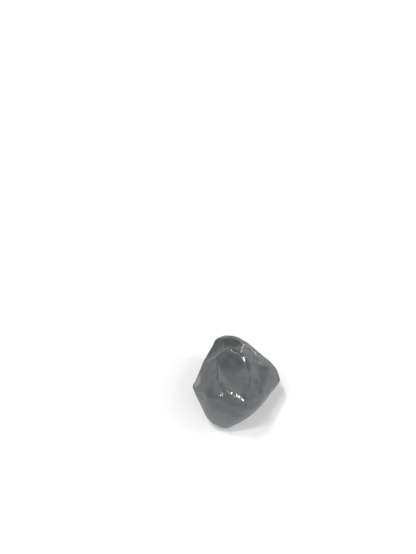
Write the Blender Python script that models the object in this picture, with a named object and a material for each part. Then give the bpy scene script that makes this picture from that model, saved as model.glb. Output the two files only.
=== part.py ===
"""A tumbled tektite: one lump of black natural glass, worn smooth, that rests on a flat of its own.

The stone is a hull round a handful of corners. Its edges are worn round, shallow conchoidal
hollows are dished out of it, and a flat is ground off underneath. Its long axis lies along Y and
it stands on Z = 0 with the middle of its footprint at the origin. Blender 4.5; metres, +Z up.
"""

import math

import bmesh
import bpy
import numpy as np
from mathutils import Vector

MM = 0.001
NAME = "tumbled_tektite"

CORNERS = {  # where the worn facets meet, before their edges are rounded, in millimetres
    # the far end
    "far_left_tip": (-2.9, 14.2, 8.7),
    "far_right_tip": (1.0, 13.8, 8.9),
    "far_left_top": (-2.5, 11.5, 11.2),
    "far_right_top": (1.1, 10.8, 11.6),
    "far_left_shoulder": (-8.5, 10.9, 8.8),
    "far_right_shoulder": (4.7, 11.2, 9.0),
    "far_right_inner": (5.4, 7.9, 10.9),
    # the right side
    "right_shoulder": (8.2, 7.1, 8.9),
    "right_back": (11.1, 2.6, 8.4),
    "right_point": (12.2, -0.5, 7.2),
    "right_front": (9.9, -2.8, 4.8),
    "right_front_low": (7.6, -6.1, 4.5),
    "right_edge_far": (8.6, 1.3, 11.6),
    "right_edge_mid": (7.4, -4.4, 12.3),
    "right_edge_near": (6.4, -9.1, 12.0),
    "right_edge_low": (5.5, -10.8, 10.3),
    # the rim of the scoop
    "right_ridge_far": (2.5, 7.1, 13.2),
    "right_ridge_bend": (1.2, 4.5, 14.6),
    "right_ridge_mid": (1.9, 0.2, 14.8),
    "right_ridge_near": (3.7, -4.3, 15.1),
    "right_ridge_end": (3.3, -7.7, 14.6),
    "rim_far": (-1.4, 5.6, 14.7),
    "left_ridge_far": (-4.6, 2.2, 14.7),
    "left_ridge_mid": (-5.4, -3.4, 15.1),
    "left_ridge_near": (-5.7, -7.3, 14.9),
    "crest_left": (-3.5, -6.7, 15.3),
    "crest_mid": (-1.2, -7.8, 15.6),
    "crest_right": (1.5, -12.7, 14.9),
    # the left side
    "left_point": (-12.5, -2.1, 7.0),
    "left_front": (-9.9, -5.7, 5.5),
    "left_corner_far": (-8.5, 2.9, 10.6),
    "left_corner": (-9.1, -2.8, 11.3),
    # the brow over the front face
    "brow_left_low": (-9.5, -4.7, 10.4),
    "brow_left": (-7.7, -9.1, 12.2),
    "brow_mid_left": (-4.1, -11.2, 13.2),
    "brow_mid": (-1.3, -12.7, 13.3),
    "brow_right": (1.6, -13.4, 12.3),
    "brow_right_low": (5.0, -11.3, 10.2),
    # the foot of the front face
    "front_left_roll": (-5.9, -12.1, 4.1),
    "front_mid_roll": (-3.1, -13.4, 4.0),
    "front_right_roll": (-2.3, -13.4, 4.1),
    "front_left_foot": (-6.0, -11.9, 2.3),
    "front_mid_foot": (-3.1, -12.9, 2.1),
    "front_right_foot": (-2.2, -12.9, 2.3),
    "bevel_foot": (0.1, -12.55, 3.8),
    "bevel_mid": (1.45, -11.8, 4.35),
    "bevel_right": (4.0, -9.4, 5.0),
    "left_front_foot": (-8.1, -10.1, 3.8),
    # the belly
    "belly_right": (9.6, 2.1, 3.0),
    "belly_right_back": (7.6, 7.3, 3.6),
    "belly_back": (-0.6, 12.1, 3.0),
    "belly_left_back": (-7.2, 7.1, 3.4),
    "belly_left": (-10.4, 0.1, 3.4),
    "belly_left_front": (-9.0, -6.9, 2.4),
    # the underside
    "back_left_foot": (-5.0, 10.1, 2.4),
    "back_right_foot": (3.0, 10.5, 2.6),
    "foot_left": (-7.5, -0.5, 1.0),
    "foot_right": (6.5, 0.0, 0.8),
    "foot_front_left": (-5.5, -8.5, -0.6),
    "foot_front_right": (0.5, -7.5, -0.6),
    "foot_back_left": (-4.0, 5.5, -0.6),
    "foot_back_right": (4.0, 5.5, -0.6),
}
FACET_MERGE_DEG = 7.0  # hull triangles closer in angle than this are one facet
EDGE_WEAR = 0.17  # how far the tumbling has softened the facets' edges, mm
DISH_WEAR = 0.45  # and the rims of the hollows
FLAT_WEAR = 0.5  # and the edge of the flat underneath

# Hollows: where the middle lies, which way it faces (azimuth from +X, elevation), its half-widths
# across and along, the turn of the first about the facing direction, and its depth. Millimetres,
# degrees. The scoop has a third half-width, from the middle to its near end; its taper narrows the
# far end, and its bluntness keeps that end's floor low before the wall rises.
DISHES = {
    "scoop": dict(
        at=(-0.9, -1.8, 15.0), faces=(90, 89), half=(4.3, 7.8, 8.5), turn=17, deep=2.6, taper=0.7, blunt=1.7
    ),
    "brow": dict(at=(-1.1, -11.4, 14.1), faces=(245, 42), half=(3.6, 1.6), turn=0, deep=0.3),
    "left_low": dict(at=(-6.2, -8.4, 13.0), faces=(205, 42), half=(3.0, 2.6), turn=0, deep=0.35),
    "left_flank": dict(at=(-6.9, -1.6, 13.0), faces=(170, 46), half=(4.6, 3.2), turn=0, deep=0.4),
    "left_edge": dict(at=(-10.3, 2.5, 8.0), faces=(155, 8), half=(5.5, 3.5), turn=0, deep=0.6),
    "right_flank": dict(at=(4.6, -5.8, 13.25), faces=(348, 54), half=(6.5, 3.3), turn=0, deep=0.25),
    "right_back": dict(at=(5.3, 4.9, 11.8), faces=(31, 52), half=(5.0, 4.0), turn=0, deep=0.25),
    "bevel": dict(at=(3.1, -11.0, 6.6), faces=(311, -13), half=(3.6, 3.0), turn=0, deep=0.2),
    "far_top": dict(at=(-0.9, 8.3, 12.9), faces=(100, 58), half=(3.2, 2.7), turn=0, deep=0.6),
    "far_left": dict(at=(-6.0, 6.5, 11.2), faces=(150, 46), half=(4.2, 2.6), turn=0, deep=0.35),
    "far_end": dict(at=(-0.4, 13.1, 6.2), faces=(88, -8), half=(2.8, 2.8), turn=0, deep=0.35),
    "back_left": dict(at=(-7.6, 8.1, 6.2), faces=(142, -4), half=(4.4, 3.2), turn=20, deep=0.6),
    "back_right": dict(at=(8.4, 7.4, 6.2), faces=(42, -4), half=(4.8, 2.8), turn=-15, deep=0.55),
    "under_left": dict(at=(-9.6, -2.7, 3.2), faces=(192, -42), half=(4.0, 2.4), turn=0, deep=0.3),
    "under_front": dict(at=(-3.1, -10.8, 1.3), faces=(262, -48), half=(3.4, 1.6), turn=0, deep=0.25),
}
WARPS = (  # slow waves that bend every facet and ridge: wavelength and swing, mm
    (14.0, 0.25),
    (6.5, 0.1),
    (3.0, 0.035),
)
WAVES_PER_WARP = 3
WARP_SEED = 5

HEART = (0.0, -2.0, 7.0)  # every point of the surface can be seen from here, mm
REACH = 26.0  # further from the heart than any point of the surface, mm
HALVINGS = 40  # of that reach, to find the surface along a ray
BALL_STRETCH = (12.0, 14.0, 8.0)  # gives the rays the stone's own proportions
SPLITS = 60  # cuts across each edge of the icosahedron that the mesh grows from
KEPT_SHARE = 0.118  # of its triangles, most of them left along the ridges and rims

GLASS_COLOUR = (0.07, 0.073, 0.076, 1.0)
GLASS_ROUGHNESS = 0.22
GLASS_IOR = 1.5


def clear_scene():
    for obj in list(bpy.data.objects):
        bpy.data.objects.remove(obj, do_unlink=True)


def direction(azimuth_deg, elevation_deg):
    azimuth, elevation = math.radians(azimuth_deg), math.radians(elevation_deg)
    level = math.cos(elevation)
    return np.array((math.cos(azimuth) * level, math.sin(azimuth) * level, math.sin(elevation)))


def facet_planes():
    """(normals, distances) of the hull's facets: a point is inside where normals @ point < distances."""
    hull = bmesh.new()
    for corner in CORNERS.values():
        hull.verts.new(corner)
    made = bmesh.ops.convex_hull(hull, input=hull.verts)
    inner = [item for item in made["geom_interior"] if isinstance(item, bmesh.types.BMVert)]
    bmesh.ops.delete(hull, geom=inner, context="VERTS")
    limit = math.radians(FACET_MERGE_DEG)
    bmesh.ops.dissolve_limit(hull, angle_limit=limit, verts=hull.verts, edges=hull.edges)
    bmesh.ops.recalc_face_normals(hull, faces=hull.faces)
    normals = np.array([face.normal for face in hull.faces])
    centres = np.array([face.calc_center_median() for face in hull.faces])
    hull.free()
    return normals, (normals * centres).sum(axis=1)


def worn_hull(points, normals, distances):
    """Below zero inside the hull. The facets blend into each other over the edge wear."""
    gaps = (points @ normals.T - distances) / EDGE_WEAR
    largest = gaps.max(axis=1)
    return EDGE_WEAR * (largest + np.log(np.exp(gaps - largest[:, None]).sum(axis=1)))


def smooth_max(first, second, width):
    """The larger of two fields, with the crease where they meet rounded over this width."""
    share = np.clip(0.5 + 0.5 * (first - second) / width, 0, 1)
    return first * share + second * (1 - share) + width * share * (1 - share)


def dish_field(points, at, faces, half, turn, deep, taper=0.0, blunt=1.0):
    """Above zero where a shallow bowl has been struck out of the stone."""
    out = direction(*faces)
    side = np.cross((0.0, 0.0, 1.0), out)
    side /= np.linalg.norm(side)
    along = np.cross(out, side)
    turn = math.radians(turn)
    first = math.cos(turn) * side + math.sin(turn) * along
    second = math.cos(turn) * along - math.sin(turn) * side
    offset = points - np.array(at)
    ahead = offset @ second
    v = np.where(ahead < 0, -np.abs(ahead / half[1]) ** blunt, ahead / half[-1])
    u = offset @ first / half[0] / np.clip(1 + taper * v, 0.4, 1.3)
    bowl = deep * (u * u + v * v - 1)
    steepness = np.hypot(1, 2 * deep * np.hypot(u / half[0], v / half[1]))
    return (offset @ out - bowl) / steepness


def warped(points):
    """The points pushed about by slow waves, so that no facet is quite flat and no ridge straight."""
    draw = np.random.default_rng(WARP_SEED)
    moved = points.copy()
    for wavelength, swing in WARPS:
        for axis in range(3):
            for _ in range(WAVES_PER_WARP):
                wave = draw.normal(size=3)
                wave *= 2 * math.pi / wavelength / np.linalg.norm(wave)
                phase = draw.uniform(0, 2 * math.pi)
                moved[:, axis] += swing / math.sqrt(WAVES_PER_WARP) * np.sin(points @ wave + phase)
    return moved


def stone_field(points, normals, distances):
    """Below zero inside the stone, above zero outside, in about millimetres."""
    bent = warped(points)
    field = worn_hull(bent, normals, distances)
    for dish in DISHES.values():
        field = smooth_max(field, dish_field(bent, **dish), DISH_WEAR)
    return smooth_max(field, -points[:, 2], FLAT_WEAR)


def surface_points(rays):
    """Where each ray from the heart leaves the stone, found by halving."""
    normals, distances = facet_planes()
    inside, outside = np.zeros(len(rays)), np.full(len(rays), REACH)
    for _ in range(HALVINGS):
        middle = (inside + outside) / 2
        is_in = stone_field(np.array(HEART) + rays * middle[:, None], normals, distances) < 0
        inside, outside = np.where(is_in, middle, inside), np.where(is_in, outside, middle)
    return np.array(HEART) + rays * inside[:, None]


def centred(points):
    """The points moved level, so that the middle of their footprint is at the origin."""
    points[:, :2] -= (points[:, :2].min(axis=0) + points[:, :2].max(axis=0)) / 2
    return points


def stone_mesh(name, splits):
    ball = bmesh.new()
    bmesh.ops.create_icosphere(ball, subdivisions=1, radius=1.0)
    bmesh.ops.subdivide_edges(ball, edges=ball.edges, cuts=splits, use_grid_fill=True)
    rays = np.array([vert.co for vert in ball.verts]) * BALL_STRETCH
    rays /= np.linalg.norm(rays, axis=1)[:, None]
    for vert, point in zip(ball.verts, centred(surface_points(rays))):
        vert.co = Vector(point) * MM
    bmesh.ops.triangulate(ball, faces=ball.faces)
    mesh = bpy.data.meshes.new(name)
    ball.to_mesh(mesh)
    ball.free()
    mesh.shade_smooth()
    return mesh


def thin_out(obj):
    """Merges triangles where the stone is nearly flat, and keeps them where it bends."""
    thinning = obj.modifiers.new("thin_out", "DECIMATE")
    thinning.decimate_type = "COLLAPSE"
    thinning.ratio = KEPT_SHARE


def black_glass():
    material = bpy.data.materials.new("black_glass")
    material.use_nodes = True
    shader = material.node_tree.nodes["Principled BSDF"]
    shader.inputs["Base Color"].default_value = GLASS_COLOUR
    shader.inputs["Metallic"].default_value = 0.0
    shader.inputs["Roughness"].default_value = GLASS_ROUGHNESS
    shader.inputs["IOR"].default_value = GLASS_IOR
    return material


def main():
    clear_scene()
    collection = bpy.data.collections.new("Tumbled tektite")
    bpy.context.scene.collection.children.link(collection)
    stone = bpy.data.objects.new(NAME, stone_mesh(NAME, SPLITS))
    stone.data.materials.append(black_glass())
    collection.objects.link(stone)
    thin_out(stone)


main()
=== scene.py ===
import math

import bmesh
import bpy
import numpy as np
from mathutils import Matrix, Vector


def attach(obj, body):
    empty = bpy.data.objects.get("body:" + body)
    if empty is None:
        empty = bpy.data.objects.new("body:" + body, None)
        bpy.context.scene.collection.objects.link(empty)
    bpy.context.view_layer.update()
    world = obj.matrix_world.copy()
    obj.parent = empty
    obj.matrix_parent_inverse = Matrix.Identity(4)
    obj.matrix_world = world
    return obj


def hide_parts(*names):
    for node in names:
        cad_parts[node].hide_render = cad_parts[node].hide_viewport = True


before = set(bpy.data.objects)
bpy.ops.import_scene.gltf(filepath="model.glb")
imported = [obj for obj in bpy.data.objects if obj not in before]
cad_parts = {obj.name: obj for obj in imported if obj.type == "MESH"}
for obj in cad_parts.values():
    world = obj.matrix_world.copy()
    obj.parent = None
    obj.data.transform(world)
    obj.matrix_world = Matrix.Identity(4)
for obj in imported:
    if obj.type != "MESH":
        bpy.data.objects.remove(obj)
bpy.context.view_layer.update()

mm = 0.001

# The stone's form, in millimetres and degrees: the facets and hollows of its plain solid, then
# the small flakes that only the dressed stone has, and how finely its mesh is made.
stone = {
    "node": "tumbled_tektite",
    "piece": "tektite_stone",
    "corners": {  # where the worn facets meet, before their edges are rounded
        # the far end
        "farLeftTip": (-2.9, 14.2, 8.7),
        "farRightTip": (1.0, 13.8, 8.9),
        "farLeftTop": (-2.5, 11.5, 11.2),
        "farRightTop": (1.1, 10.8, 11.6),
        "farLeftShoulder": (-8.5, 10.9, 8.8),
        "farRightShoulder": (4.7, 11.2, 9.0),
        "farRightInner": (5.4, 7.9, 10.9),
        # the right side
        "rightShoulder": (8.2, 7.1, 8.9),
        "rightBack": (11.1, 2.6, 8.4),
        "rightPoint": (12.2, -0.5, 7.2),
        "rightFront": (9.9, -2.8, 4.8),
        "rightFrontLow": (7.6, -6.1, 4.5),
        "rightEdgeFar": (8.6, 1.3, 11.6),
        "rightEdgeMid": (7.4, -4.4, 12.3),
        "rightEdgeNear": (6.4, -9.1, 12.0),
        "rightEdgeLow": (5.5, -10.8, 10.3),
        # the rim of the scoop
        "rightRidgeFar": (2.5, 7.1, 13.2),
        "rightRidgeBend": (1.2, 4.5, 14.6),
        "rightRidgeMid": (1.9, 0.2, 14.8),
        "rightRidgeNear": (3.7, -4.3, 15.1),
        "rightRidgeEnd": (3.3, -7.7, 14.6),
        "rimFar": (-1.4, 5.6, 14.7),
        "leftRidgeFar": (-4.6, 2.2, 14.7),
        "leftRidgeMid": (-5.4, -3.4, 15.1),
        "leftRidgeNear": (-5.7, -7.3, 14.9),
        "crestLeft": (-3.5, -6.7, 15.3),
        "crestMid": (-1.2, -7.8, 15.6),
        "crestRight": (1.5, -12.7, 14.9),
        # the left side
        "leftPoint": (-12.5, -2.1, 7.0),
        "leftFront": (-9.9, -5.7, 5.5),
        "leftCornerFar": (-8.5, 2.9, 10.6),
        "leftCorner": (-9.1, -2.8, 11.3),
        # the brow over the front face
        "browLeftLow": (-9.5, -4.7, 10.4),
        "browLeft": (-7.7, -9.1, 12.2),
        "browMidLeft": (-4.1, -11.2, 13.2),
        "browMid": (-1.3, -12.7, 13.3),
        "browRight": (1.6, -13.4, 12.3),
        "browRightLow": (5.0, -11.3, 10.2),
        # the foot of the front face
        "frontLeftRoll": (-5.9, -12.1, 4.1),
        "frontMidRoll": (-3.1, -13.4, 4.0),
        "frontRightRoll": (-2.3, -13.4, 4.1),
        "frontLeftFoot": (-6.0, -11.9, 2.3),
        "frontMidFoot": (-3.1, -12.9, 2.1),
        "frontRightFoot": (-2.2, -12.9, 2.3),
        "bevelFoot": (0.1, -12.55, 3.8),
        "bevelMid": (1.45, -11.8, 4.35),
        "bevelRight": (4.0, -9.4, 5.0),
        "leftFrontFoot": (-8.1, -10.1, 3.8),
        # the belly
        "bellyRight": (9.6, 2.1, 3.0),
        "bellyRightBack": (7.6, 7.3, 3.6),
        "bellyBack": (-0.6, 12.1, 3.0),
        "bellyLeftBack": (-7.2, 7.1, 3.4),
        "bellyLeft": (-10.4, 0.1, 3.4),
        "bellyLeftFront": (-9.0, -6.9, 2.4),
        # the underside
        "backLeftFoot": (-5.0, 10.1, 2.4),
        "backRightFoot": (3.0, 10.5, 2.6),
        "footLeft": (-7.5, -0.5, 1.0),
        "footRight": (6.5, 0.0, 0.8),
        "footFrontLeft": (-5.5, -8.5, -0.6),
        "footFrontRight": (0.5, -7.5, -0.6),
        "footBackLeft": (-4.0, 5.5, -0.6),
        "footBackRight": (4.0, 5.5, -0.6),
    },
    # each hollow: its middle, the azimuth and elevation that it faces, its half-widths, turn and depth;
    # the scoop's third half-width reaches from its middle to its near end, its taper narrows the far
    # end, and its bluntness keeps that end's floor low before the wall rises
    "hollows": {
        "scoop": dict(
            at=(-0.9, -1.8, 15.0), faces=(90, 89), half=(4.3, 7.8, 8.5), turn=17, deep=2.6,
            taper=0.7, blunt=1.7,
        ),
        "brow": dict(at=(-1.1, -11.4, 14.1), faces=(245, 42), half=(3.6, 1.6), turn=0, deep=0.3),
        "leftLow": dict(at=(-6.2, -8.4, 13.0), faces=(205, 42), half=(3.0, 2.6), turn=0, deep=0.35),
        "leftFlank": dict(at=(-6.9, -1.6, 13.0), faces=(170, 46), half=(4.6, 3.2), turn=0, deep=0.4),
        "leftEdge": dict(at=(-10.3, 2.5, 8.0), faces=(155, 8), half=(5.5, 3.5), turn=0, deep=0.6),
        "rightFlank": dict(at=(4.6, -5.8, 13.25), faces=(348, 54), half=(6.5, 3.3), turn=0, deep=0.25),
        "rightBack": dict(at=(5.3, 4.9, 11.8), faces=(31, 52), half=(5.0, 4.0), turn=0, deep=0.25),
        "bevel": dict(at=(3.1, -11.0, 6.6), faces=(311, -13), half=(3.6, 3.0), turn=0, deep=0.2),
        "farTop": dict(at=(-0.9, 8.3, 12.9), faces=(100, 58), half=(3.2, 2.7), turn=0, deep=0.6),
        "farLeft": dict(at=(-6.0, 6.5, 11.2), faces=(150, 46), half=(4.2, 2.6), turn=0, deep=0.35),
        "farEnd": dict(at=(-0.4, 13.1, 6.2), faces=(88, -8), half=(2.8, 2.8), turn=0, deep=0.35),
        "backLeft": dict(at=(-7.6, 8.1, 6.2), faces=(142, -4), half=(4.4, 3.2), turn=20, deep=0.6),
        "backRight": dict(at=(8.4, 7.4, 6.2), faces=(42, -4), half=(4.8, 2.8), turn=-15, deep=0.55),
        "underLeft": dict(at=(-9.6, -2.7, 3.2), faces=(192, -42), half=(4.0, 2.4), turn=0, deep=0.3),
        "underFront": dict(at=(-3.1, -10.8, 1.3), faces=(262, -48), half=(3.4, 1.6), turn=0, deep=0.25),
    },
    "chips": {  # small flakes struck off the ridges and flanks, each given as a hollow is
        "crestA": dict(at=(-1.75, -9.65, 14.92), faces=(243, 69), half=(0.5, 0.35), turn=-12, deep=0.08),
        "crestB": dict(at=(-0.5, -10.25, 14.88), faces=(240, 70), half=(0.75, 0.4), turn=-14, deep=0.08),
        "crestC": dict(at=(0.45, -11.0, 14.87), faces=(238, 68), half=(0.45, 0.35), turn=-30, deep=0.08),
        "crestD": dict(at=(1.3, -11.85, 14.75), faces=(240, 66), half=(0.65, 0.4), turn=-22, deep=0.08),
        "panel": dict(at=(-4.45, -9.7, 13.75), faces=(240, 65), half=(0.4, 0.7), turn=20, deep=0.15),
        "ridgeFar": dict(at=(2.0, 7.45, 12.4), faces=(40, 59), half=(0.15, 1.2), turn=31, deep=0.04),
        "ridgeBend": dict(at=(1.45, 4.9, 13.65), faces=(42, 61), half=(0.18, 1.1), turn=18, deep=0.08),
        "ridgeMid": dict(at=(1.93, 2.17, 14.1), faces=(240, 69), half=(0.3, 1.0), turn=45, deep=0.04),
        "ridgeNear": dict(at=(3.02, -0.85, 14.07), faces=(240, 69), half=(0.25, 0.6), turn=50, deep=0.05),
        "farRim": dict(at=(-1.4, 5.5, 14.0), faces=(246, 67), half=(1.0, 0.3), turn=0, deep=0.12),
        "farDimpleA": dict(at=(-1.35, 12.5, 10.35), faces=(85, 60), half=(0.6, 0.5), turn=0, deep=0.2),
        "farDimpleB": dict(at=(-3.95, 9.7, 10.95), faces=(150, 62), half=(0.5, 0.5), turn=0, deep=0.18),
        "spotA": dict(at=(3.95, 1.2, 13.8), faces=(24, 57), half=(0.6, 0.5), turn=20, deep=0.08),
        "spotB": dict(at=(6.25, 2.3, 11.9), faces=(37, 56), half=(0.7, 0.45), turn=-30, deep=0.08),
        "spotC": dict(at=(3.55, 6.7, 11.8), faces=(28, 55), half=(0.6, 0.45), turn=10, deep=0.1),
        "leftCorner": dict(at=(-10.41, -0.97, 9.17), faces=(180, 36), half=(2.4, 1.0), turn=-39, deep=0.05),
        "farRightEdge": dict(at=(5.45, 6.75, 10.6), faces=(42, 60), half=(2.0, 0.35), turn=-12, deep=0.12),
    },
    "brightChips": (  # those that are polished
        "crestA", "crestB", "crestC", "crestD", "panel", "ridgeFar", "ridgeBend", "ridgeMid", "ridgeNear",
        "farRim", "farRightEdge",
    ),
    # the flake whose paleness is a painted reflection of the bright surroundings
    "paintedReflectionChip": "leftCorner",
    "spots": ("spotA", "spotB", "spotC"),
    "spotPaintedLight": 0.4,  # painted light on the spots, as a share of the flake's painted reflection
    # hollows whose old skin has more pits
    "weathered": ("farTop", "farLeft", "farEnd", "backLeft", "backRight", "underLeft"),
    "facetMergeDeg": 7.0,  # hull triangles closer in angle than this are one facet
    "edgeWear": 0.17,  # softening of the facets' edges
    "hollowWear": 0.45,  # and of the rims of the hollows
    "chipWear": 0.1,  # and of the rims of the flakes
    "flatWear": 0.5,  # and of the edge of the flat underneath
    "taperLimits": (0.4, 1.3),  # narrowest and widest that the scoop's taper makes it
    "warps": ((14.0, 0.25), (6.5, 0.1), (3.0, 0.035)),  # wavelength and swing of slow waves
    "wavesPerWarp": 3,
    "warpSeed": 5,
    "heart": (0.0, -2.0, 7.0),  # the whole surface can be seen from here
    "reach": 26.0,  # no point of the surface is this far from the heart
    "halvings": 20,  # steps in which the surface is found
    "hollowFade": 0.12,  # distance off a hollow's floor over which its mark fades
    "rimFade": 0.35,  # and that of the scoop's rim
    "chipFade": 0.05,  # and that of a flake
    "chipReach": 1.2,  # a flake's mark ends this far out, as a share of its half-width
    "chipSoftness": 0.3,  # and softens over this share of it
    "nearWallFrom": 1.0,  # Y at which the scoop's near wall begins
    "nearWallBlend": 3.5,  # and the length over which it sets in
    "ballStretch": (12.0, 14.0, 8.0),  # shapes the ball like the stone, so that its mesh is even
    "splits": 98,  # cuts across each edge of the ball that the mesh grows from
}


def direction(azimuthDeg, elevationDeg):
    azimuth, elevation = math.radians(azimuthDeg), math.radians(elevationDeg)
    level = math.cos(elevation)
    return np.array((math.cos(azimuth) * level, math.sin(azimuth) * level, math.sin(elevation)))


def facetPlanes():  # the hull round the corners, as planes that face outwards
    hull = bmesh.new()
    for corner in stone["corners"].values():
        hull.verts.new(corner)
    made = bmesh.ops.convex_hull(hull, input=hull.verts)
    inner = [item for item in made["geom_interior"] if isinstance(item, bmesh.types.BMVert)]
    bmesh.ops.delete(hull, geom=inner, context="VERTS")
    limit = math.radians(stone["facetMergeDeg"])
    bmesh.ops.dissolve_limit(hull, angle_limit=limit, verts=hull.verts, edges=hull.edges)
    bmesh.ops.recalc_face_normals(hull, faces=hull.faces)
    normals = np.array([face.normal for face in hull.faces])
    centres = np.array([face.calc_center_median() for face in hull.faces])
    hull.free()
    return normals, (normals * centres).sum(axis=1)


def wornHull(points, normals, distances):  # distance outside the hull, with its edges worn round
    gaps = (points @ normals.T - distances) / stone["edgeWear"]
    largest = gaps.max(axis=1)
    return stone["edgeWear"] * (largest + np.log(np.exp(gaps - largest[:, None]).sum(axis=1)))


def smoothMax(first, second, width):  # the larger of the two, rounded where they meet
    share = np.clip(0.5 + 0.5 * (first - second) / width, 0, 1)
    return first * share + second * (1 - share) + width * share * (1 - share)


def hollowField(points, at, faces, half, turn, deep, taper=0.0, blunt=1.0):  # above zero in the bowl
    out = direction(*faces)
    side = np.cross((0.0, 0.0, 1.0), out)
    side /= np.linalg.norm(side)
    along = np.cross(out, side)
    turn = math.radians(turn)
    first = math.cos(turn) * side + math.sin(turn) * along
    second = math.cos(turn) * along - math.sin(turn) * side
    offset = points - np.array(at)
    ahead = offset @ second
    v = np.where(ahead < 0, -np.abs(ahead / half[1]) ** blunt, ahead / half[-1])
    u = offset @ first / half[0] / np.clip(1 + taper * v, *stone["taperLimits"])
    bowl = deep * (u * u + v * v - 1)
    steepness = np.hypot(1, 2 * deep * np.hypot(u / half[0], v / half[1]))
    return (offset @ out - bowl) / steepness


def bent(points):  # slow waves, so that no facet is quite flat and no ridge straight
    draw = np.random.default_rng(stone["warpSeed"])
    moved = points.copy()
    for wavelength, swing in stone["warps"]:
        for axis in range(3):
            for _ in range(stone["wavesPerWarp"]):
                wave = draw.normal(size=3)
                wave *= 2 * math.pi / wavelength / np.linalg.norm(wave)
                phase = draw.uniform(0, 2 * math.pi)
                moved[:, axis] += swing / math.sqrt(stone["wavesPerWarp"]) * np.sin(points @ wave + phase)
    return moved


def stoneField(points, normals, distances):  # below zero inside the stone
    moved = bent(points)
    field = wornHull(moved, normals, distances)
    for hollow in stone["hollows"].values():
        field = smoothMax(field, hollowField(moved, **hollow), stone["hollowWear"])
    for chip in stone["chips"].values():
        field = smoothMax(field, hollowField(points, **chip), stone["chipWear"])
    return smoothMax(field, -points[:, 2], stone["flatWear"])


def surfacePoints(rays):  # where each ray from the heart leaves the stone
    normals, distances = facetPlanes()
    heart = np.array(stone["heart"])
    inside, outside = np.zeros(len(rays)), np.full(len(rays), stone["reach"])
    for _ in range(stone["halvings"]):
        middle = (inside + outside) / 2
        isIn = stoneField(heart + rays * middle[:, None], normals, distances) < 0
        inside, outside = np.where(isIn, middle, inside), np.where(isIn, outside, middle)
    return heart + rays * inside[:, None]


def hollowShare(points, names, fade):  # 1 inside these hollows, 0 outside them
    moved = bent(points)
    share = np.zeros(len(points))
    for name in names:
        gap = hollowField(moved, **stone["hollows"][name])
        share = np.maximum(share, np.exp(-np.abs(gap) / fade))
    return share


def chipShare(points, names):  # 1 inside these flakes, 0 away from them
    share = np.zeros(len(points))
    for name in names:
        chip = stone["chips"][name]
        gap = hollowField(points, **chip)
        away = np.linalg.norm(points - np.array(chip["at"]), axis=1) / max(chip["half"])
        near = np.clip((stone["chipReach"] - away) / stone["chipSoftness"], 0, 1)
        share = np.maximum(share, np.exp(-np.abs(gap) / stone["chipFade"]) * near)
    return share


def curvature(mesh):  # per millimetre, above zero on ridges; also the edges' ends and each point's links
    count = len(mesh.vertices)
    points = np.empty(count * 3)
    mesh.vertices.foreach_get("co", points)
    points = points.reshape(-1, 3) / mm
    normals = np.empty(count * 3)
    mesh.vertices.foreach_get("normal", normals)
    normals = normals.reshape(-1, 3)
    ends = np.empty(len(mesh.edges) * 2, dtype=np.int64)
    mesh.edges.foreach_get("vertices", ends)
    ends = ends.reshape(-1, 2)
    away = points[ends[:, 0]] - points[ends[:, 1]]
    length = (away * away).sum(axis=1)
    bend = np.zeros(count)
    links = np.bincount(ends.ravel(), minlength=count)
    for end, sign in ((0, 1), (1, -1)):
        at = ends[:, end]
        lift = sign * (away * normals[at]).sum(axis=1) / length
        bend += np.bincount(at, weights=lift, minlength=count)
    return 2 * bend / links, ends, links


def spread(values, ends, links, rounds):  # evens values out over neighbouring points
    for _ in range(rounds):
        total = np.bincount(ends[:, 0], weights=values[ends[:, 1]], minlength=len(values))
        total += np.bincount(ends[:, 1], weights=values[ends[:, 0]], minlength=len(values))
        values = (values + total) / (1 + links)
    return values


def writeValues(mesh, name, values):
    attribute = mesh.attributes.get(name) or mesh.attributes.new(name, "FLOAT", "POINT")
    attribute.data.foreach_set("value", np.ascontiguousarray(values, dtype=np.float32))


def surfaceShares(points):  # which finish each point of the surface has, and where light is painted on it, from 0 to 1
    fade = stone["hollowFade"]
    freshBreak = hollowShare(points, ("scoop",), fade)
    spots = stone["spotPaintedLight"] * chipShare(points, stone["spots"])
    nearness = np.clip((stone["nearWallFrom"] - points[:, 1]) / stone["nearWallBlend"], 0, 1)
    return {
        "freshBreak": freshBreak,
        "nearWall": freshBreak * nearness,
        "rim": hollowShare(points, ("scoop",), stone["rimFade"]),
        "oldSkin": hollowShare(points, stone["weathered"], fade),
        "flaked": chipShare(points, stone["brightChips"]),
        "paintedChipLight": np.maximum(chipShare(points, (stone["paintedReflectionChip"],)), spots),
    }


def makeStoneMesh():  # a ball whose points move out to the surface
    ball = bmesh.new()
    bmesh.ops.create_icosphere(ball, subdivisions=1, radius=1.0)
    bmesh.ops.subdivide_edges(ball, edges=ball.edges, cuts=stone["splits"], use_grid_fill=True)
    rays = np.array([vert.co for vert in ball.verts]) * stone["ballStretch"]
    rays /= np.linalg.norm(rays, axis=1)[:, None]
    points = surfacePoints(rays)
    shares = surfaceShares(points)
    points[:, :2] -= (points[:, :2].min(axis=0) + points[:, :2].max(axis=0)) / 2
    for vert, point in zip(ball.verts, points):
        vert.co = Vector(point) * mm
    bmesh.ops.triangulate(ball, faces=ball.faces)
    mesh = bpy.data.meshes.new(stone["piece"])
    ball.to_mesh(mesh)
    ball.free()
    mesh.shade_smooth()
    for name, values in shares.items():
        writeValues(mesh, name, values)
    return mesh


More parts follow.
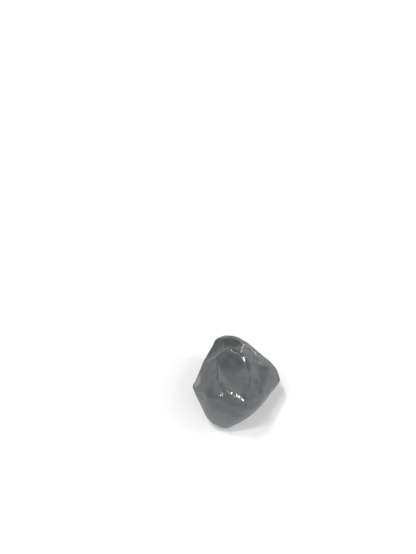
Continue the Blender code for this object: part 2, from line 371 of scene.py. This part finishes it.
# The skin, in millimetres: ripples of the fresh break, dimples, pits and nicked ridges.
skin = {
    "strikePoint": (-3.6, -10.0, 15.5),  # where the blow that made the scoop landed
    "rippleSpacing": 1.25,
    "rippleHeight": 0.06,
    "rippleWander": 2.4,  # how far a ripple strays from a true ring
    "wanderScale": 0.22,  # per millimetre
    "rippleEnd": (8.0, 10.5),  # distances from the blow between which the ripples die out
    "strongScale": 0.35,  # of the patches where the ripples are strong, per millimetre
    "strongPatch": (0.35, 0.6),  # noise between which such a patch goes from weak to strong
    "weakest": 0.25,
    "dimples": dict(perSquareMm=0.10, smallest=0.5, largest=1.7, depthShare=0.055, seed=4),
    "pits": dict(perSquareMm=0.9, smallest=0.16, largest=0.42, depthShare=0.16, seed=9),
    "nicks": dict(perSquareMm=0.7, smallest=0.2, largest=0.55, depthShare=0.14, seed=15),
    "fewLarge": 2.5,  # above 1, most pits are small and a few are large
    "outlineScale": 0.8,  # of the waver in a pit's outline, in pit sizes
    "outlineWaver": 0.9,
    "cupPower": 1.4,  # above 1, a pit's edge is softer and its middle deeper
    "pittedPatchScale": 260.0,  # of the patches with pits, per metre
    "pittedPatch": (0.46, 0.62),
    "pittedFull": 0.05,  # depth at which a pit's mark is full
    "ridgeFrom": 0.25,  # curvature per millimetre at which a ridge begins to count as one
    "ridgeFull": 1.1,
    "ridgeRounds": 2,  # of evening out, before ridges are read
    "sunkenRounds": 30,  # and before broad hollows are
    "sunkenFull": 0.35,  # curvature per millimetre at which a broad hollow counts in full
}
pitLayers = ("dimples", "pits", "nicks")


def mathNode(tree, operation, first, second=None, third=None, clamp=False):
    node = tree.nodes.new("ShaderNodeMath")
    node.operation = operation
    node.use_clamp = clamp
    for socket, value in zip(node.inputs, (first, second, third)):
        plug(tree, value, socket)
    return node.outputs[0]


def vectorNode(tree, operation, first, second=None, scale=None):
    node = tree.nodes.new("ShaderNodeVectorMath")
    node.operation = operation
    plug(tree, first, node.inputs[0])
    plug(tree, second, node.inputs[1])
    plug(tree, scale, node.inputs[3])
    return node.outputs["Value" if operation in ("DISTANCE", "LENGTH", "DOT_PRODUCT") else "Vector"]


def plug(tree, value, socket):  # a link where the value is a socket, and a setting where it is a number
    if isinstance(value, bpy.types.NodeSocket):
        tree.links.new(value, socket)
    elif value is not None:
        socket.default_value = value


def rangeNode(tree, value, fromLow, fromHigh, toLow=0.0, toHigh=1.0, smooth=False):
    node = tree.nodes.new("ShaderNodeMapRange")
    node.interpolation_type = "SMOOTHSTEP" if smooth else "LINEAR"
    for socket, given in zip(node.inputs, (value, fromLow, fromHigh, toLow, toHigh)):
        plug(tree, given, socket)
    return node.outputs["Result"]


def noiseNode(tree, where, scale, detail=3.0, roughness=0.5, kind="Fac"):
    node = tree.nodes.new("ShaderNodeTexNoise")
    plug(tree, where, node.inputs["Vector"])
    plug(tree, scale, node.inputs[3])
    node.inputs["Detail"].default_value = detail
    node.inputs["Roughness"].default_value = roughness
    return node.outputs[kind]


def valueNode(tree, name):  # reads one of the values written on the stone's mesh
    node = tree.nodes.new("GeometryNodeInputNamedAttribute")
    node.data_type = "FLOAT"
    node.inputs["Name"].default_value = name
    return node.outputs["Attribute"]


def makeTree(name, kind, inputs, outputs):
    tree = bpy.data.node_groups.new(name, kind)
    for way, sockets in (("INPUT", inputs), ("OUTPUT", outputs)):
        for label, socketType in sockets:
            tree.interface.new_socket(label, in_out=way, socket_type="NodeSocket" + socketType)
    return tree, tree.nodes.new("NodeGroupInput").outputs, tree.nodes.new("NodeGroupOutput").inputs


def makePitLayer():  # how deep a layer of round pits, strewn at random, goes at each point of a mesh
    tree, given, result = makeTree(
        "pitLayer",
        "GeometryNodeTree",
        (
            ("Mesh", "Geometry"),
            ("Where", "Float"),
            ("Per Area", "Float"),
            ("Smallest", "Float"),
            ("Largest", "Float"),
            ("Depth Share", "Float"),
            ("Seed", "Int"),
        ),
        (("Depth", "Float"),),
    )
    strew = tree.nodes.new("GeometryNodeDistributePointsOnFaces")
    strew.distribute_method = "RANDOM"
    plug(tree, given["Mesh"], strew.inputs["Mesh"])
    plug(tree, mathNode(tree, "MULTIPLY", given["Per Area"], given["Where"]), strew.inputs["Density"])
    plug(tree, given["Seed"], strew.inputs["Seed"])
    position = tree.nodes.new("GeometryNodeInputPosition").outputs[0]
    nearest = tree.nodes.new("GeometryNodeSampleNearest")
    plug(tree, strew.outputs["Points"], nearest.inputs["Geometry"])
    plug(tree, position, nearest.inputs["Sample Position"])
    draw = tree.nodes.new("FunctionNodeRandomValue")
    draw.data_type = "FLOAT"
    plug(tree, given["Seed"], draw.inputs["Seed"])
    found = {}
    size = draw.outputs["Value"]
    for label, kind, source in (("middle", "FLOAT_VECTOR", position), ("size", "FLOAT", size)):
        sample = tree.nodes.new("GeometryNodeSampleIndex")
        sample.data_type = kind
        plug(tree, strew.outputs["Points"], sample.inputs["Geometry"])
        plug(tree, source, sample.inputs["Value"])
        plug(tree, nearest.outputs["Index"], sample.inputs["Index"])
        found[label] = sample.outputs["Value"]
    few = mathNode(tree, "POWER", found["size"], skin["fewLarge"])
    radius = rangeNode(tree, few, 0.0, 1.0, given["Smallest"], given["Largest"])
    wobble = noiseNode(tree, position, mathNode(tree, "DIVIDE", skin["outlineScale"], radius), kind="Color")
    wobble = vectorNode(tree, "SUBTRACT", wobble, (0.5, 0.5, 0.5))
    wobble = vectorNode(tree, "SCALE", wobble, scale=mathNode(tree, "MULTIPLY", radius, skin["outlineWaver"]))
    away = vectorNode(tree, "DISTANCE", vectorNode(tree, "ADD", position, wobble), found["middle"])
    share = mathNode(tree, "DIVIDE", away, radius)
    cup = mathNode(tree, "SUBTRACT", 1.0, mathNode(tree, "MULTIPLY", share, share), clamp=True)
    cup = mathNode(tree, "POWER", cup, skin["cupPower"])
    depth = mathNode(tree, "MULTIPLY", mathNode(tree, "MULTIPLY", cup, radius), given["Depth Share"])
    plug(tree, depth, result["Depth"])
    return tree


def makeSkinRelief():  # ripples stand out of the stone and pits go into it, as real shape
    sizes = []
    for layer in pitLayers:
        for size in ("perSquareMm", "smallest", "largest", "depthShare"):
            sizes.append((layer + " " + size, "Float"))
        sizes.append((layer + " seed", "Int"))
    tree, given, result = makeTree(
        "skinRelief",
        "GeometryNodeTree",
        [
            ("Stone", "Geometry"),
            ("Strike Point", "Vector"),
            ("Ripple Spacing", "Float"),
            ("Ripple Height", "Float"),
            ("Ripple Wander", "Float"),
            ("Glass", "Material"),
            *sizes,
        ],
        (("Stone", "Geometry"),),
    )
    pitLayer = makePitLayer()
    position = tree.nodes.new("GeometryNodeInputPosition").outputs[0]
    normal = tree.nodes.new("GeometryNodeInputNormal").outputs[0]
    fresh, old, ridge = (valueNode(tree, name) for name in ("freshBreak", "oldSkin", "ridge"))
    patches = noiseNode(tree, position, skin["pittedPatchScale"])
    patches = rangeNode(tree, patches, *skin["pittedPatch"], smooth=True)
    worn = mathNode(tree, "SUBTRACT", 1.0, fresh, clamp=True)
    where = {
        "dimples": worn,
        "pits": mathNode(tree, "MULTIPLY", worn, mathNode(tree, "MAXIMUM", old, patches)),
        "nicks": mathNode(tree, "MULTIPLY", ridge, worn),
    }
    depth = 0.0
    for layer in pitLayers:
        made = tree.nodes.new("GeometryNodeGroup")
        made.node_tree = pitLayer
        plug(tree, given["Stone"], made.inputs["Mesh"])
        plug(tree, where[layer], made.inputs["Where"])
        plug(tree, given[layer + " seed"], made.inputs["Seed"])
        for size, factor, socket in (
            ("perSquareMm", 1 / mm**2, "Per Area"),
            ("smallest", mm, "Smallest"),
            ("largest", mm, "Largest"),
        ):
            plug(tree, mathNode(tree, "MULTIPLY", given[layer + " " + size], factor), made.inputs[socket])
        plug(tree, given[layer + " depthShare"], made.inputs["Depth Share"])
        depth = mathNode(tree, "ADD", depth, made.outputs["Depth"])
    inMm = vectorNode(tree, "SCALE", position, scale=1 / mm)
    away = vectorNode(tree, "DISTANCE", inMm, given["Strike Point"])
    wander = noiseNode(tree, inMm, skin["wanderScale"], 1.0)
    wander = mathNode(tree, "MULTIPLY", wander, given["Ripple Wander"])
    turns = mathNode(tree, "DIVIDE", mathNode(tree, "ADD", away, wander), given["Ripple Spacing"])
    wave = mathNode(tree, "SINE", mathNode(tree, "MULTIPLY", turns, 2 * math.pi))
    wave = mathNode(tree, "MULTIPLY_ADD", wave, 0.5, 0.5)
    patchy = noiseNode(tree, inMm, skin["strongScale"], 2.0)
    patchy = rangeNode(tree, patchy, *skin["strongPatch"], skin["weakest"], 1.0, smooth=True)
    full, gone = skin["rippleEnd"]
    fade = rangeNode(tree, away, gone, full, smooth=True)
    strength = mathNode(tree, "MULTIPLY", mathNode(tree, "MULTIPLY", patchy, fade), fresh)
    ripple = mathNode(tree, "MULTIPLY", mathNode(tree, "MULTIPLY", wave, strength), given["Ripple Height"])
    lift = mathNode(tree, "SUBTRACT", mathNode(tree, "MULTIPLY", ripple, mm), depth)
    moved = tree.nodes.new("GeometryNodeSetPosition")
    plug(tree, given["Stone"], moved.inputs["Geometry"])
    plug(tree, vectorNode(tree, "SCALE", normal, scale=lift), moved.inputs["Offset"])
    keptPits = tree.nodes.new("GeometryNodeStoreNamedAttribute")
    keptPits.data_type = "FLOAT"
    keptPits.domain = "POINT"
    keptPits.inputs["Name"].default_value = "pitted"
    plug(tree, moved.outputs["Geometry"], keptPits.inputs["Geometry"])
    pitted = mathNode(tree, "MULTIPLY", depth, 1 / (skin["pittedFull"] * mm), clamp=True)
    plug(tree, pitted, keptPits.inputs["Value"])
    real = tree.nodes.new("GeometryNodeRealizeInstances")
    plug(tree, keptPits.outputs["Geometry"], real.inputs["Geometry"])
    dressed = tree.nodes.new("GeometryNodeSetMaterial")
    plug(tree, real.outputs["Geometry"], dressed.inputs["Geometry"])
    plug(tree, given["Glass"], dressed.inputs["Material"])
    plug(tree, dressed.outputs["Geometry"], result["Stone"])
    return tree


def dressStone(stoneObject, material):  # runs the relief, and keeps its result as the stone's mesh
    modifier = stoneObject.modifiers.new("skinRelief", "NODES")
    modifier.node_group = makeSkinRelief()
    values = {
        "Strike Point": skin["strikePoint"],
        "Ripple Spacing": skin["rippleSpacing"],
        "Ripple Height": skin["rippleHeight"],
        "Ripple Wander": skin["rippleWander"],
        "Glass": material,
    }
    for layer in pitLayers:
        for key, value in skin[layer].items():
            values[layer + " " + key] = value
    for socket in modifier.node_group.interface.items_tree:
        if socket.in_out == "INPUT" and socket.name in values:
            modifier[socket.identifier] = values[socket.name]
    graph = bpy.context.evaluated_depsgraph_get()
    finished = bpy.data.meshes.new_from_object(stoneObject.evaluated_get(graph))
    stoneObject.modifiers.remove(modifier)
    stoneObject.data = finished
    finished.name = stone["piece"]


def readValues(mesh, name):
    values = np.empty(len(mesh.vertices), dtype=np.float32)
    mesh.attributes[name].data.foreach_get("value", values)
    return values


def markRidges(mesh):  # ridges and broad hollows are read from the mesh's own curvature
    bend, ends, links = curvature(mesh)
    even = spread(bend, ends, links, skin["ridgeRounds"])
    span = skin["ridgeFull"] - skin["ridgeFrom"]
    ridge = np.clip((even - skin["ridgeFrom"]) / span, 0, 1)
    ridge *= 1 - readValues(mesh, "freshBreak")  # its ripples aren't ridges
    writeValues(mesh, "ridge", ridge)
    broad = spread(bend, ends, links, skin["sunkenRounds"])
    writeValues(mesh, "sunken", np.clip(-broad / skin["sunkenFull"], 0, 1))


# The glass: its colours, with painted light and shade among them, its gloss and grain. Pattern scales are per
# millimetre.
glass = {
    "deep": (0.047, 0.05, 0.053, 1.0),  # the darkest of the mottle
    "pale": (0.058, 0.061, 0.063, 1.0),  # and the palest
    "cloudScale": 0.28,
    "fleckScale": 1.1,
    "fleckShare": 0.35,  # how much of the mottle is flecks, and the rest is clouds
    "mottleSpan": (0.3, 0.7),
    "hazeAndPaintedFloorLight": (0.112, 0.115, 0.116, 1.0),  # the dull film in hollows, and painted floor light low on the flanks
    "hollowHaze": 0.4,
    # painted floor light: the flanks paler towards the bottom, where they face the bright floor
    "lowPaintedFloorLight": 0.7,
    "lowPaintedFloorLightSpan": (11.5, 3.5),  # heights between which the painted floor light sets in, in millimetres
    "paintedRippleSheen": (0.15, 0.153, 0.155, 1.0),  # painted sheen: the lamps' glow on the rippled near wall of the fresh break
    "bandPatch": (0.4, 0.65),  # noise between which the bands of that wall set in
    "bandStrength": 0.3,
    "bandMean": 0.65,  # how much painted sheen the wall has between strong and weak bands
    # painted shade, darkening the pits
    "pitPaintedShade": 0.5,
    "chip": (0.22, 0.223, 0.224, 1.0),  # painted reflection on the flake at the left corner, and painted light on the spots
    "chipPatchScale": 0.9,
    "chipPatch": (0.35, 0.65),
    "chipStrength": (0.25, 0.75),  # least and most
    # worn edges, paler both as rubbed glass and as a painted glint, most on the scoop's rim
    "wornEdgeAndPaintedGlint": (0.17, 0.175, 0.178, 1.0),
    "wornEdgeAndPaintedGlintStrength": 0.4,
    "wearBreakScale": 1.3,  # of the breaks in the worn edges
    "wearBreakUp": 0.75,
    "wearPatch": (0.35, 0.65),
    "polishSpread": 0.6,  # below 1, the polish reaches further off a ridge than the wear
    "rimWear": 0.5,  # extra wear, with its painted glint, and polish on the scoop's rim
    "ridgeWear": 0.05,  # and what every ridge has
    "breakWear": 0.8,  # share of the polish taken off inside the fresh break
    "ridgePaintedShade": 0.8,  # painted shade on the ridges away from the rim, dimming their sheen
    "satin": 0.4,  # roughness of the broad faces
    "cloudRoughness": (0.05, -0.07),  # added where the mottle is deepest and palest
    "pitRoughness": 0.12,  # added in pits
    "breakRoughness": 0.2,  # and in the fresh break
    "ridgeRoughness": 0.3,  # and on the ridges away from the rim
    "polished": 0.2,  # roughness of the rim and of the bright flakes
    "facetScale": 2.2,  # of the breaks in the flakes' polish
    "facetPatch": (0.3, 0.5),
    "facetPolish": (0.2, 1.0),  # least and most
    "ior": 1.5,
    "coatIor": 2.1,
    "coatRoughness": 0.2,
    "grainScale": 1.6,
    "grainHeight": 0.004,  # millimetres
    "pockReach": 0.28,  # of the pocks in the grain, in cell sizes
    "pockDepth": 0.6,  # as a share of the grain's height
    "scratchScale": 1.6,
    "scratchTurn": (0.4, 0.9, 0.7),
    "scratchStretch": (1.0, 0.06, 0.3),
    "scratchWidth": 0.02,
    "scratchDepth": 0.35,
}


def attributeNode(tree, name):
    node = tree.nodes.new("ShaderNodeAttribute")
    node.attribute_name = name
    return node.outputs["Fac"]


def colourMix(tree, share, first, second):
    node = tree.nodes.new("ShaderNodeMix")
    node.data_type = "RGBA"
    plug(tree, share, node.inputs[0])
    plug(tree, first, node.inputs[6])
    plug(tree, second, node.inputs[7])
    return node.outputs[2]


def makeMottle():  # soft cloudy change of tone, at two sizes
    tree, given, result = makeTree(
        "glassMottle",
        "ShaderNodeTree",
        (
            ("Where", "Vector"),
            ("Deep", "Color"),
            ("Pale", "Color"),
            ("Cloud Scale", "Float"),
            ("Fleck Scale", "Float"),
        ),
        (("Colour", "Color"), ("Cloud", "Float")),
    )
    cloud = noiseNode(tree, given["Where"], given["Cloud Scale"], 2.0, 0.5)
    fleck = noiseNode(tree, given["Where"], given["Fleck Scale"], 2.0)
    cloud = mathNode(tree, "MULTIPLY", cloud, 1 - glass["fleckShare"])
    mixed = mathNode(tree, "MULTIPLY_ADD", fleck, glass["fleckShare"], cloud)
    mixed = rangeNode(tree, mixed, *glass["mottleSpan"], smooth=True)
    plug(tree, colourMix(tree, mixed, given["Deep"], given["Pale"]), result["Colour"])
    plug(tree, mixed, result["Cloud"])
    return tree


def makeEdgeWear():  # ridges rubbed by the tumbling, their paleness partly a painted glint, broken up so that no line is even
    tree, given, result = makeTree(
        "edgeWear",
        "ShaderNodeTree",
        (("Where", "Vector"), ("Ridge", "Float"), ("Break Up", "Float"), ("Break Scale", "Float")),
        (("Wear", "Float"), ("Polish", "Float")),
    )
    broken = noiseNode(tree, given["Where"], given["Break Scale"], 3.0, 0.6)
    broken = rangeNode(tree, broken, *glass["wearPatch"], smooth=True)
    keep = mathNode(tree, "MULTIPLY_ADD", mathNode(tree, "SUBTRACT", broken, 1.0), given["Break Up"], 1.0)
    plug(tree, mathNode(tree, "MULTIPLY", given["Ridge"], keep, clamp=True), result["Wear"])
    polish = mathNode(tree, "POWER", given["Ridge"], glass["polishSpread"])
    plug(tree, mathNode(tree, "MULTIPLY", polish, keep, clamp=True), result["Polish"])
    return tree


def makePaintedSheenBands():  # painted sheen: the lamps' glow on the ripples of the fresh break, as paler bands
    tree, given, result = makeTree(
        "paintedSheenBands",
        "ShaderNodeTree",
        (("Where", "Vector"), ("Middle", "Vector"), ("Spacing", "Float"), ("Wander", "Float")),
        (("Band", "Float"),),
    )
    away = vectorNode(tree, "DISTANCE", given["Where"], given["Middle"])
    wander = noiseNode(tree, given["Where"], skin["wanderScale"], 1.0)
    wander = mathNode(tree, "MULTIPLY", wander, given["Wander"])
    turns = mathNode(tree, "DIVIDE", mathNode(tree, "ADD", away, wander), given["Spacing"])
    wave = mathNode(tree, "SINE", mathNode(tree, "MULTIPLY", turns, 2 * math.pi))
    patchy = noiseNode(tree, given["Where"], skin["strongScale"], 2.0)
    patchy = rangeNode(tree, patchy, *glass["bandPatch"], 0.0, glass["bandStrength"], smooth=True)
    plug(tree, mathNode(tree, "MULTIPLY_ADD", wave, patchy, glass["bandMean"], clamp=True), result["Band"])
    return tree


def makeFineGrain():  # the finest roughness of the skin, and stray scratches
    tree, given, result = makeTree(
        "fineGrain",
        "ShaderNodeTree",
        (("Where", "Vector"), ("Grain Scale", "Float"), ("Scratch Scale", "Float"), ("Smoothness", "Float")),
        (("Height", "Float"),),
    )
    grain = noiseNode(tree, given["Where"], given["Grain Scale"], 5.0, 0.62)
    cells = tree.nodes.new("ShaderNodeTexVoronoi")
    plug(tree, given["Where"], cells.inputs["Vector"])
    plug(tree, given["Grain Scale"], cells.inputs["Scale"])
    pock = cells.outputs["Distance"]
    pock = rangeNode(tree, pock, 0.0, glass["pockReach"], -glass["pockDepth"], 0.0, smooth=True)
    stretch = tree.nodes.new("ShaderNodeMapping")
    plug(tree, given["Where"], stretch.inputs["Vector"])
    stretch.inputs["Rotation"].default_value = glass["scratchTurn"]
    stretch.inputs["Scale"].default_value = glass["scratchStretch"]
    lines = noiseNode(tree, stretch.outputs["Vector"], given["Scratch Scale"], 1.0)
    lines = mathNode(tree, "ABSOLUTE", mathNode(tree, "SUBTRACT", lines, 0.5))
    lines = rangeNode(tree, lines, 0.0, glass["scratchWidth"], -glass["scratchDepth"], 0.0, smooth=True)
    total = mathNode(tree, "ADD", mathNode(tree, "ADD", grain, pock), lines)
    share = mathNode(tree, "SUBTRACT", 1.0, given["Smoothness"], clamp=True)
    plug(tree, mathNode(tree, "MULTIPLY", total, share), result["Height"])
    return tree


def placeGroup(tree, group, **values):  # each value goes to the input of its name, _ standing for a space
    node = tree.nodes.new("ShaderNodeGroup")
    node.node_tree = group
    for label, value in values.items():
        plug(tree, value, node.inputs[label.replace("_", " ")])
    return node.outputs


def timesNode(tree, *factors):  # the product of these
    product = factors[0]
    for factor in factors[1:]:
        product = mathNode(tree, "MULTIPLY", product, factor)
    return product


def makeColour(tree, where, marks, body, worn):  # of the glass all over the stone, with painted light and shade mixed in
    bands = placeGroup(
        tree,
        makePaintedSheenBands(),
        Where=where,
        Middle=skin["strikePoint"],
        Spacing=skin["rippleSpacing"],
        Wander=skin["rippleWander"],
    )
    height = tree.nodes.new("ShaderNodeSeparateXYZ")
    plug(tree, where, height.inputs[0])
    # painted floor light: paler towards the bottom of the stone
    paintedFloorLightShare = rangeNode(tree, height.outputs["Z"], *glass["lowPaintedFloorLightSpan"], 0.0, glass["lowPaintedFloorLight"], smooth=True)
    patch = noiseNode(tree, where, glass["chipPatchScale"], 3.0)
    patch = rangeNode(tree, patch, *glass["chipPatch"], *glass["chipStrength"], smooth=True)
    colour = body
    for share, tone in (
        (timesNode(tree, marks["sunken"], glass["hollowHaze"]), "hazeAndPaintedFloorLight"),
        # painted sheen on the ripples of the near wall
        (timesNode(tree, marks["nearWall"], bands["Band"]), "paintedRippleSheen"),
        # painted shade in the pits
        (timesNode(tree, marks["pitted"], glass["pitPaintedShade"]), "deep"),
        # painted floor light low on the flanks
        (paintedFloorLightShare, "hazeAndPaintedFloorLight"),
        # painted reflection on the corner flake and painted light on the spots
        (timesNode(tree, marks["paintedChipLight"], patch), "chip"),
        # painted shade on the ridges away from the rim
        (timesNode(tree, marks["offRim"], glass["ridgePaintedShade"]), "deep"),
        # worn edges, partly a painted glint
        (timesNode(tree, worn, marks["onRim"], glass["wornEdgeAndPaintedGlintStrength"]), "wornEdgeAndPaintedGlint"),
    ):
        colour = colourMix(tree, share, colour, glass[tone])
    return colour


def makeGloss(tree, where, marks, cloud, polish):  # roughness, and how polished, all over the stone
    deepest, palest = glass["cloudRoughness"]
    satin = rangeNode(tree, cloud, 0.0, 1.0, glass["satin"] + deepest, glass["satin"] + palest)
    for mark, added in (
        ("pitted", "pitRoughness"),
        ("freshBreak", "breakRoughness"),
        ("offRim", "ridgeRoughness"),
    ):
        satin = mathNode(tree, "MULTIPLY_ADD", marks[mark], glass[added], satin)
    outside = mathNode(tree, "MULTIPLY_ADD", marks["freshBreak"], -glass["breakWear"], 1.0)
    shine = timesNode(tree, polish, marks["onRim"], outside)
    facets = noiseNode(tree, where, glass["facetScale"], 2.0)
    facets = rangeNode(tree, facets, *glass["facetPatch"], *glass["facetPolish"], smooth=True)
    polished = mathNode(tree, "MAXIMUM", shine, timesNode(tree, marks["flaked"], facets))
    return rangeNode(tree, polished, 0.0, 1.0, satin, glass["polished"]), polished


def makeGlass():
    material = bpy.data.materials.new("blackGlass")
    material.use_nodes = True
    tree = material.node_tree
    shader = tree.nodes["Principled BSDF"]
    objectPlace = tree.nodes.new("ShaderNodeTexCoord").outputs["Object"]
    where = vectorNode(tree, "SCALE", objectPlace, scale=1 / mm)  # in millimetres
    written = ("ridge", "rim", "pitted", "sunken", "freshBreak", "nearWall", "paintedChipLight", "flaked")
    marks = {name: attributeNode(tree, name) for name in written}
    marks["onRim"] = mathNode(tree, "MULTIPLY_ADD", marks["rim"], glass["rimWear"], glass["ridgeWear"])
    marks["offRim"] = timesNode(tree, marks["ridge"], mathNode(tree, "SUBTRACT", 1.0, marks["rim"]))
    body = placeGroup(
        tree,
        makeMottle(),
        Where=where,
        Deep=glass["deep"],
        Pale=glass["pale"],
        Cloud_Scale=glass["cloudScale"],
        Fleck_Scale=glass["fleckScale"],
    )
    wear = placeGroup(
        tree,
        makeEdgeWear(),
        Where=where,
        Ridge=marks["ridge"],
        Break_Up=glass["wearBreakUp"],
        Break_Scale=glass["wearBreakScale"],
    )
    colour = makeColour(tree, where, marks, body["Colour"], wear["Wear"])
    plug(tree, colour, shader.inputs["Base Color"])
    rough, polished = makeGloss(tree, where, marks, body["Cloud"], wear["Polish"])
    plug(tree, rough, shader.inputs["Roughness"])
    plug(tree, polished, shader.inputs["Coat Weight"])
    shader.inputs["Coat IOR"].default_value = glass["coatIor"]
    shader.inputs["Coat Roughness"].default_value = glass["coatRoughness"]
    shader.inputs["IOR"].default_value = glass["ior"]
    grain = placeGroup(
        tree,
        makeFineGrain(),
        Where=where,
        Grain_Scale=glass["grainScale"],
        Scratch_Scale=glass["scratchScale"],
        Smoothness=mathNode(tree, "MAXIMUM", wear["Polish"], marks["flaked"]),
    )
    bump = tree.nodes.new("ShaderNodeBump")
    bump.inputs["Distance"].default_value = glass["grainHeight"] * mm
    plug(tree, grain["Height"], bump.inputs["Height"])
    plug(tree, bump.outputs["Normal"], shader.inputs["Normal"])
    print("glass mixed")
    return material


stoneMesh = makeStoneMesh()
markRidges(stoneMesh)
stoneObject = bpy.data.objects.new(stone["piece"], stoneMesh)
bpy.context.scene.collection.objects.link(stoneObject)
print("stone grown:", len(stoneMesh.polygons), "triangles")
dressStone(stoneObject, makeGlass())
markRidges(stoneObject.data)
print("skin dressed:", len(stoneObject.data.polygons), "triangles")
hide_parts(stone["node"])
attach(stoneObject, "root")

# The studio: floor, light and camera.
studio = {
    "floorSize": 6.0,  # metres
    "floorColour": (0.88, 0.88, 0.88, 1.0),
    "floorRoughness": 0.7,
    "skyLow": 2.25,  # brightness of the surroundings near the horizon
    "skyHigh": 0.37,  # and overhead
    "skyTurn": 0.45,  # height, as a share of straight up, above which it is all overhead
    "skySides": 1.0,  # how much brighter they are to the left and right
    "skyFront": 0.95,  # and in front than behind
    "skyRight": 0.2,  # and on the right than on the left
    "lamps": {  # direction towards the lamp, strength, and how wide it looks in degrees
        "overheadA": dict(towards=(-0.26, -0.18, 0.95), strength=0.47, width=5),
        "overheadB": dict(towards=(-0.30, 0.05, 0.95), strength=0.47, width=5),
        "overheadC": dict(towards=(-0.32, 0.2, 0.93), strength=0.4, width=5),
        "leftD": dict(towards=(-0.45, -0.2, 0.87), strength=0.35, width=6),
        "back": dict(towards=(0.15, 0.78, 0.6), strength=0.08, width=4),
        "backLow": dict(towards=(0.15, 0.98, 0.15), strength=0.1, width=4),
        "backRight": dict(towards=(0.42, 0.91, 0.07), strength=0.13, width=4),
        "rightE": dict(towards=(0.64, 0.0, 0.77), strength=0.22, width=8),
        "rightF": dict(towards=(0.82, 0.0, 0.57), strength=0.4, width=8),
    },
    "cameraAt": (-7.862, -124.355, 183.455),  # millimetres
    "cameraPitchDeg": 42.6976,  # up from looking straight down
    "cameraLens": 50.0,
    "cameraSensor": 36,  # millimetres across
    "cameraNearest": 0.005,  # metres
}


def makeFloor():  # one wide pale sheet
    half = studio["floorSize"] / 2
    mesh = bpy.data.meshes.new("floor")
    corners = [(-half, -half, 0), (half, -half, 0), (half, half, 0), (-half, half, 0)]
    mesh.from_pydata(corners, [], [(0, 1, 2, 3)])
    material = bpy.data.materials.new("paleFloor")
    material.use_nodes = True
    shader = material.node_tree.nodes["Principled BSDF"]
    shader.inputs["Base Color"].default_value = studio["floorColour"]
    shader.inputs["Roughness"].default_value = studio["floorRoughness"]
    mesh.materials.append(material)
    floor = bpy.data.objects.new("floor", mesh)
    bpy.context.scene.collection.objects.link(floor)


def makeLight():  # pale surroundings, brightest low down, and soft lamps far off
    world = bpy.data.worlds.new("studio")
    world.use_nodes = True
    tree = world.node_tree
    sky = tree.nodes["Background"]
    sky.inputs["Color"].default_value = (1, 1, 1, 1)
    towards = tree.nodes.new("ShaderNodeSeparateXYZ")
    plug(tree, tree.nodes.new("ShaderNodeTexCoord").outputs["Generated"], towards.inputs[0])
    x, y, z = towards.outputs
    glow = rangeNode(tree, z, 0.0, studio["skyTurn"], studio["skyLow"], studio["skyHigh"])
    around = mathNode(tree, "MULTIPLY_ADD", mathNode(tree, "MULTIPLY", x, x), studio["skySides"], 1.0)
    around = mathNode(tree, "MULTIPLY_ADD", y, -studio["skyFront"], around)
    around = mathNode(tree, "MULTIPLY_ADD", x, studio["skyRight"], around)
    plug(tree, mathNode(tree, "MULTIPLY", glow, around), sky.inputs["Strength"])
    bpy.context.scene.world = world
    for name, lamp in studio["lamps"].items():
        data = bpy.data.lights.new(name, "SUN")
        data.energy = lamp["strength"]
        data.angle = math.radians(lamp["width"])
        holder = bpy.data.objects.new(name, data)
        holder.rotation_euler = Vector(lamp["towards"]).to_track_quat("Z", "Y").to_euler()
        bpy.context.scene.collection.objects.link(holder)


def makeCamera():
    data = bpy.data.cameras.new("camera")
    data.lens = studio["cameraLens"]
    data.sensor_width = studio["cameraSensor"]
    data.clip_start = studio["cameraNearest"]
    holder = bpy.data.objects.new("camera", data)
    holder.location = Vector(studio["cameraAt"]) * mm
    holder.rotation_euler = (math.radians(studio["cameraPitchDeg"]), 0, 0)
    bpy.context.scene.collection.objects.link(holder)
    bpy.context.scene.camera = holder


makeFloor()
makeLight()
makeCamera()
bpy.context.scene.view_settings.view_transform = "Standard"
print("studio ready")
